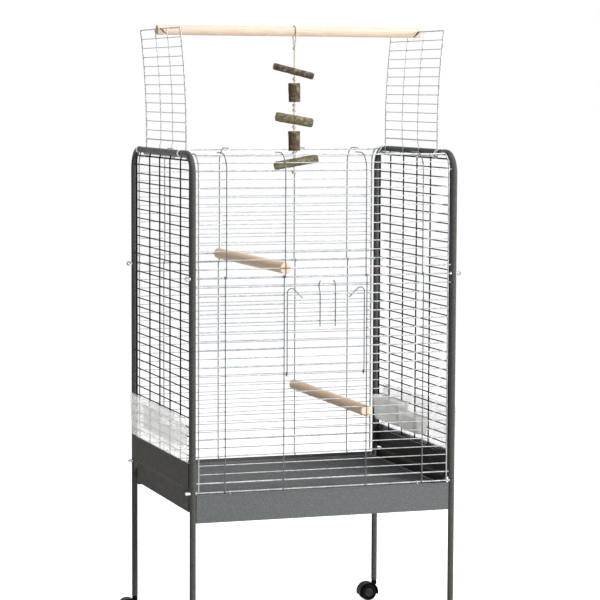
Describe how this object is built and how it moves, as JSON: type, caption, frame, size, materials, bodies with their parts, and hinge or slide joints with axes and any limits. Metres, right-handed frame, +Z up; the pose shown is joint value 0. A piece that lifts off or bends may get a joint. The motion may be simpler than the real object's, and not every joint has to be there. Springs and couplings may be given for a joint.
{
  "type": "aviary",
  "caption": "Tall wire bird cage on casters with a drop-down front door, a pull-out tray and roof flaps that open up to carry a play perch.",
  "frame": {"origin": "on the floor, under the middle of the cage", "axes": "+Z up, the front door looks to -Y, +X to the right seen from the front"},
  "size_m": [0.852, 0.634, 1.722],
  "materials": {
    "anthracite_tube": "satin anthracite powder coat",
    "black_wire": "black powder coat",
    "hammered_sheet": "grey hammered paint",
    "floor_wire": "grey hammered paint",
    "zinc_wire": "bright zinc plate",
    "beech": "plain turned wood",
    "bark_wood": "branch wood with its bark",
    "rope": "twisted cotton",
    "clear_plastic": "clear moulded plastic",
    "black_plastic": "black moulded plastic",
    "plug_plastic": "black moulded plastic"
  },
  "bodies": {
    "frame": {"left_side_frame": "anthracite_tube", "left_side_mesh": "black_wire", "left_skirt": "hammered_sheet", "left_runner_band": "hammered_sheet", "left_hinge_rod": "zinc_wire", "left_front_clip": "zinc_wire", "left_rear_clip": "zinc_wire", "right_side_frame": "anthracite_tube", "right_side_mesh": "black_wire", "right_skirt": "hammered_sheet", "right_runner_band": "hammered_sheet", "right_hinge_rod": "zinc_wire", "right_front_clip": "zinc_wire", "right_rear_clip": "zinc_wire", "front_middle_rod": "zinc_wire", "front_floor_rod": "zinc_wire", "front_lower_grille": "zinc_wire", "front_upper_grille": "zinc_wire", "rear_middle_rod": "zinc_wire", "rear_floor_rod": "zinc_wire", "rear_lower_grille": "zinc_wire", "rear_upper_grille": "zinc_wire", "rear_apron": "hammered_sheet", "upper_perch": "beech", "lower_perch": "beech", "front_left_plug": "plug_plastic", "front_right_plug": "plug_plastic", "rear_left_plug": "plug_plastic", "rear_right_plug": "plug_plastic"},
    "left_flap": {"left_roof_flap": "zinc_wire"},
    "right_flap": {"right_roof_flap": "zinc_wire"},
    "perch": {"top_perch": "beech"},
    "toy": {"toy_rope": "rope", "toy_stick_top": "bark_wood", "toy_log_upper": "bark_wood", "toy_stick_middle": "bark_wood", "toy_log_lower": "bark_wood", "toy_stick_bottom": "bark_wood"},
    "door": {"front_door": "zinc_wire"},
    "tray": {"tray": "hammered_sheet"},
    "floor_grille": {"floor_grille": "floor_wire"},
    "left_guard": {"left_seed_guard": "clear_plastic"},
    "left_front_cup": {"left_front_cup": "clear_plastic"},
    "left_rear_cup": {"left_rear_cup": "clear_plastic"},
    "left_rail_hook": {"left_rail_hook": "zinc_wire"},
    "right_guard": {"right_seed_guard": "clear_plastic"},
    "right_front_cup": {"right_front_cup": "clear_plastic"},
    "right_rear_cup": {"right_rear_cup": "clear_plastic"},
    "right_rail_hook": {"right_rail_hook": "zinc_wire"},
    "front_left_caster": {"front_left_caster": "black_plastic"},
    "front_left_wheels": {"front_left_wheels": "black_plastic"},
    "front_right_caster": {"front_right_caster": "black_plastic"},
    "front_right_wheels": {"front_right_wheels": "black_plastic"},
    "rear_left_caster": {"rear_left_caster": "black_plastic"},
    "rear_left_wheels": {"rear_left_wheels": "black_plastic"},
    "rear_right_caster": {"rear_right_caster": "black_plastic"},
    "rear_right_wheels": {"rear_right_wheels": "black_plastic"}
  },
  "joints": [
    {"name": "left_flap_hinge", "type": "hinge", "parent": "frame", "child": "left_flap", "pos_m": [-0.35945, 0, 1.358], "axis": [0, 1, 0], "range_deg": [0, 90]},
    {"name": "right_flap_hinge", "type": "hinge", "parent": "frame", "child": "right_flap", "pos_m": [0.35945, 0, 1.358], "axis": [0, -1, 0], "range_deg": [0, 90]},
    {"name": "perch_lift", "type": "slide", "parent": "frame", "child": "perch", "axis": [0, 0, 1], "range_m": [0, 0.601]},
    {"name": "toy_swing", "type": "hinge", "parent": "perch", "child": "toy", "pos_m": [0, 0, 1.704], "axis": [1, 0, 0], "range_deg": [-20, 20]},
    {"name": "door_hinge", "type": "hinge", "parent": "frame", "child": "door", "pos_m": [0, -0.30146, 0.774], "axis": [1, 0, 0], "range_deg": [0, 155]},
    {"name": "tray_slide", "type": "slide", "parent": "frame", "child": "tray", "axis": [0, -1, 0], "range_m": [0, 0.45]},
    {"name": "floor_grille_lift", "type": "slide", "parent": "tray", "child": "floor_grille", "axis": [0, 0, 1], "range_m": [0, 0.006]},
    {"name": "left_guard_lift", "type": "slide", "parent": "frame", "child": "left_guard", "axis": [0, 0, 1], "range_m": [0, 0.1]},
    {"name": "left_front_cup_lift", "type": "slide", "parent": "frame", "child": "left_front_cup", "axis": [0, 0, 1], "range_m": [0, 0.016]},
    {"name": "left_rear_cup_lift", "type": "slide", "parent": "frame", "child": "left_rear_cup", "axis": [0, 0, 1], "range_m": [0, 0.016]},
    {"name": "left_rail_hook_swing", "type": "hinge", "parent": "frame", "child": "left_rail_hook", "pos_m": [-0.272, -0.3, 0.4605], "axis": [-1, 0, 0], "range_deg": [0, 100]},
    {"name": "right_guard_lift", "type": "slide", "parent": "frame", "child": "right_guard", "axis": [0, 0, 1], "range_m": [0, 0.1]},
    {"name": "right_front_cup_lift", "type": "slide", "parent": "frame", "child": "right_front_cup", "axis": [0, 0, 1], "range_m": [0, 0.016]},
    {"name": "right_rear_cup_lift", "type": "slide", "parent": "frame", "child": "right_rear_cup", "axis": [0, 0, 1], "range_m": [0, 0.016]},
    {"name": "right_rail_hook_swing", "type": "hinge", "parent": "frame", "child": "right_rail_hook", "pos_m": [0.272, -0.3, 0.4605], "axis": [-1, 0, 0], "range_deg": [0, 100]},
    {"name": "front_left_swivel", "type": "hinge", "parent": "frame", "child": "front_left_caster", "pos_m": [-0.375, -0.3, 0.059], "axis": [0, 0, 1], "continuous": true},
    {"name": "front_left_roll", "type": "hinge", "parent": "front_left_caster", "child": "front_left_wheels", "pos_m": [-0.396, -0.3, 0.025], "axis": [0, 1, 0], "continuous": true},
    {"name": "front_right_swivel", "type": "hinge", "parent": "frame", "child": "front_right_caster", "pos_m": [0.375, -0.3, 0.059], "axis": [0, 0, 1], "continuous": true},
    {"name": "front_right_roll", "type": "hinge", "parent": "front_right_caster", "child": "front_right_wheels", "pos_m": [0.396, -0.3, 0.025], "axis": [0, 1, 0], "continuous": true},
    {"name": "rear_left_swivel", "type": "hinge", "parent": "frame", "child": "rear_left_caster", "pos_m": [-0.375, 0.3, 0.059], "axis": [0, 0, 1], "continuous": true},
    {"name": "rear_left_roll", "type": "hinge", "parent": "rear_left_caster", "child": "rear_left_wheels", "pos_m": [-0.396, 0.3, 0.025], "axis": [0, 1, 0], "continuous": true},
    {"name": "rear_right_swivel", "type": "hinge", "parent": "frame", "child": "rear_right_caster", "pos_m": [0.375, 0.3, 0.059], "axis": [0, 0, 1], "continuous": true},
    {"name": "rear_right_roll", "type": "hinge", "parent": "rear_right_caster", "child": "rear_right_wheels", "pos_m": [0.354, 0.3, 0.025], "axis": [0, 1, 0], "continuous": true}
  ],
  "couplings": [
    {"joint": "right_flap_hinge", "follows": "left_flap_hinge", "ratio": 1},
    {"joint": "perch_lift", "follows": "left_flap_hinge", "m_per_rad": 0.382}
  ]
}
